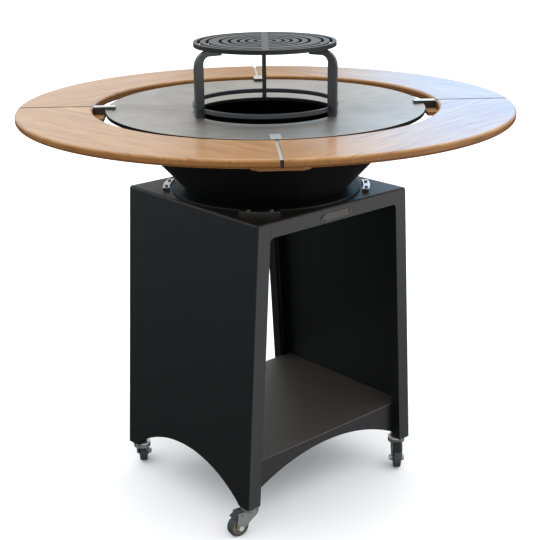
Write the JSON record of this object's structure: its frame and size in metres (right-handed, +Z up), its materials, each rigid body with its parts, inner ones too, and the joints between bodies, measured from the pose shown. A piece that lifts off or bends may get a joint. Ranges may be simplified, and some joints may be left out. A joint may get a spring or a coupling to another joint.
{
  "type": "fire pit table",
  "caption": "Round wooden standing table around a steel plancha and fire bowl, on an open sheet-steel cabinet with swivel casters, with a lift-off grill grate on a three-legged stand.",
  "frame": {"origin": "on the floor under the axis of the fire bowl", "axes": "+Z up; the open cabinet face with the badge plate looks along -Y; +X is to the right of a person who stands at that face and looks along +Y"},
  "size_m": [1.24, 1.24, 1.174],
  "materials": {
    "black_powder_coat": "satin black powder coat on sheet steel",
    "bowl_black": "matt black heat-resistant coating",
    "bare_steel": "bare rolled steel plate, ground and oiled",
    "stainless": "brushed stainless steel",
    "oiled_wood": "honey-coloured hardwood, satin varnish",
    "stand_steel": "dark grey coated steel",
    "grate_iron": "dark grey cast look",
    "zinc": "zinc-plated pressed steel",
    "tyre_rubber": "blue-grey rubber",
    "hub_plastic": "tan moulded plastic"
  },
  "bodies": {
    "cabinet": {"side_panel_left": "black_powder_coat", "side_panel_right": "black_powder_coat", "front_rail": "black_powder_coat", "back_rail": "black_powder_coat", "top_plate": "black_powder_coat", "shelf": "black_powder_coat", "caster_mounts": "black_powder_coat", "badge_plate": "stainless", "badge_rivets": "stainless", "bowl_stops": "stainless", "stop_bolts": "stainless", "caster_nuts": "zinc", "caster_head_front_left": "zinc", "caster_head_front_right": "zinc", "caster_head_back_left": "zinc", "caster_head_back_right": "zinc"},
    "bowl": {"bowl_floor": "bowl_black", "bowl_cone": "bowl_black"},
    "plancha_plate": {"plancha": "bare_steel", "plancha_locators": "bare_steel"},
    "table_ring": {"table_quarter_front": "oiled_wood", "table_quarter_right": "oiled_wood", "table_quarter_back": "oiled_wood", "table_quarter_left": "oiled_wood", "seam_bracket_front_left": "stainless", "seam_bracket_front_right": "stainless", "seam_bracket_back_left": "stainless", "seam_bracket_back_right": "stainless", "seam_cleat_front_left": "oiled_wood", "seam_cleat_front_right": "oiled_wood", "seam_cleat_back_left": "oiled_wood", "seam_cleat_back_right": "oiled_wood", "cleat_screws": "stainless", "bracket_bolts": "stainless"},
    "stand": {"stand_leg_back": "stand_steel", "stand_leg_left": "stand_steel", "stand_leg_right": "stand_steel", "stand_ring": "stand_steel"},
    "grate": {"grill_grate": "grate_iron"},
    "fork_front_left": {"caster_fork_front_left": "zinc", "caster_axle_front_left": "zinc"},
    "wheel_front_left": {"wheel_hub_front_left": "hub_plastic", "wheel_tyre_front_left": "tyre_rubber"},
    "pedal_front_left": {"brake_pedal_front_left": "zinc"},
    "fork_front_right": {"caster_fork_front_right": "zinc", "caster_axle_front_right": "zinc"},
    "wheel_front_right": {"wheel_hub_front_right": "hub_plastic", "wheel_tyre_front_right": "tyre_rubber"},
    "pedal_front_right": {"brake_pedal_front_right": "zinc"},
    "fork_back_left": {"caster_fork_back_left": "zinc", "caster_axle_back_left": "zinc"},
    "wheel_back_left": {"wheel_hub_back_left": "hub_plastic", "wheel_tyre_back_left": "tyre_rubber"},
    "pedal_back_left": {"brake_pedal_back_left": "zinc"},
    "fork_back_right": {"caster_fork_back_right": "zinc", "caster_axle_back_right": "zinc"},
    "wheel_back_right": {"wheel_hub_back_right": "hub_plastic", "wheel_tyre_back_right": "tyre_rubber"},
    "pedal_back_right": {"brake_pedal_back_right": "zinc"}
  },
  "joints": [
    {"name": "swivel_front_left", "type": "hinge", "parent": "cabinet", "child": "fork_front_left", "pos_m": [-0.271, -0.23, 0.066], "axis": [0, 0, 1], "continuous": true},
    {"name": "roll_front_left", "type": "hinge", "parent": "fork_front_left", "child": "wheel_front_left", "pos_m": [-0.30557, -0.22453, 0.027], "axis": [-0.1564, -0.9877, 0], "continuous": true},
    {"name": "brake_front_left", "type": "hinge", "parent": "fork_front_left", "child": "pedal_front_left", "pos_m": [-0.30063, -0.22531, 0.0595], "axis": [-0.1564, -0.9877, 0], "range_deg": [0, 6]},
    {"name": "swivel_front_right", "type": "hinge", "parent": "cabinet", "child": "fork_front_right", "pos_m": [0.271, -0.23, 0.066], "axis": [0, 0, 1], "continuous": true},
    {"name": "roll_front_right", "type": "hinge", "parent": "fork_front_right", "child": "wheel_front_right", "pos_m": [0.24713, -0.2556, 0.027], "axis": [0.7314, -0.682, 0], "continuous": true},
    {"name": "brake_front_right", "type": "hinge", "parent": "fork_front_right", "child": "pedal_front_right", "pos_m": [0.25054, -0.25194, 0.0595], "axis": [0.7314, -0.682, 0], "range_deg": [0, 6]},
    {"name": "swivel_back_left", "type": "hinge", "parent": "cabinet", "child": "fork_back_left", "pos_m": [-0.271, 0.23, 0.066], "axis": [0, 0, 1], "continuous": true},
    {"name": "roll_back_left", "type": "hinge", "parent": "fork_back_left", "child": "wheel_back_left", "pos_m": [-0.2485, 0.25681, 0.027], "axis": [-0.766, 0.6428, 0], "continuous": true},
    {"name": "brake_back_left", "type": "hinge", "parent": "fork_back_left", "child": "pedal_back_left", "pos_m": [-0.25172, 0.25298, 0.0595], "axis": [-0.766, 0.6428, 0], "range_deg": [0, 6]},
    {"name": "swivel_back_right", "type": "hinge", "parent": "cabinet", "child": "fork_back_right", "pos_m": [0.271, 0.23, 0.066], "axis": [0, 0, 1], "continuous": true},
    {"name": "roll_back_right", "type": "hinge", "parent": "fork_back_right", "child": "wheel_back_right", "pos_m": [0.30389, 0.24197, 0.027], "axis": [-0.342, 0.9397, 0], "continuous": true},
    {"name": "brake_back_right", "type": "hinge", "parent": "fork_back_right", "child": "pedal_back_right", "pos_m": [0.29919, 0.24026, 0.0595], "axis": [-0.342, 0.9397, 0], "range_deg": [0, 6]},
    {"name": "bowl_lift", "type": "slide", "parent": "cabinet", "child": "bowl", "axis": [0, 0, 1], "range_m": [0, 0.25]},
    {"name": "plancha_lift", "type": "slide", "parent": "bowl", "child": "plancha_plate", "axis": [0, 0, 1], "range_m": [0, 0.25]},
    {"name": "table_ring_lift", "type": "slide", "parent": "plancha_plate", "child": "table_ring", "axis": [0, 0, 1], "range_m": [0, 0.25]},
    {"name": "stand_lift", "type": "slide", "parent": "plancha_plate", "child": "stand", "axis": [0, 0, 1], "range_m": [0, 0.2]},
    {"name": "grate_lift", "type": "slide", "parent": "stand", "child": "grate", "axis": [0, 0, 1], "range_m": [0, 0.15]}
  ]
}
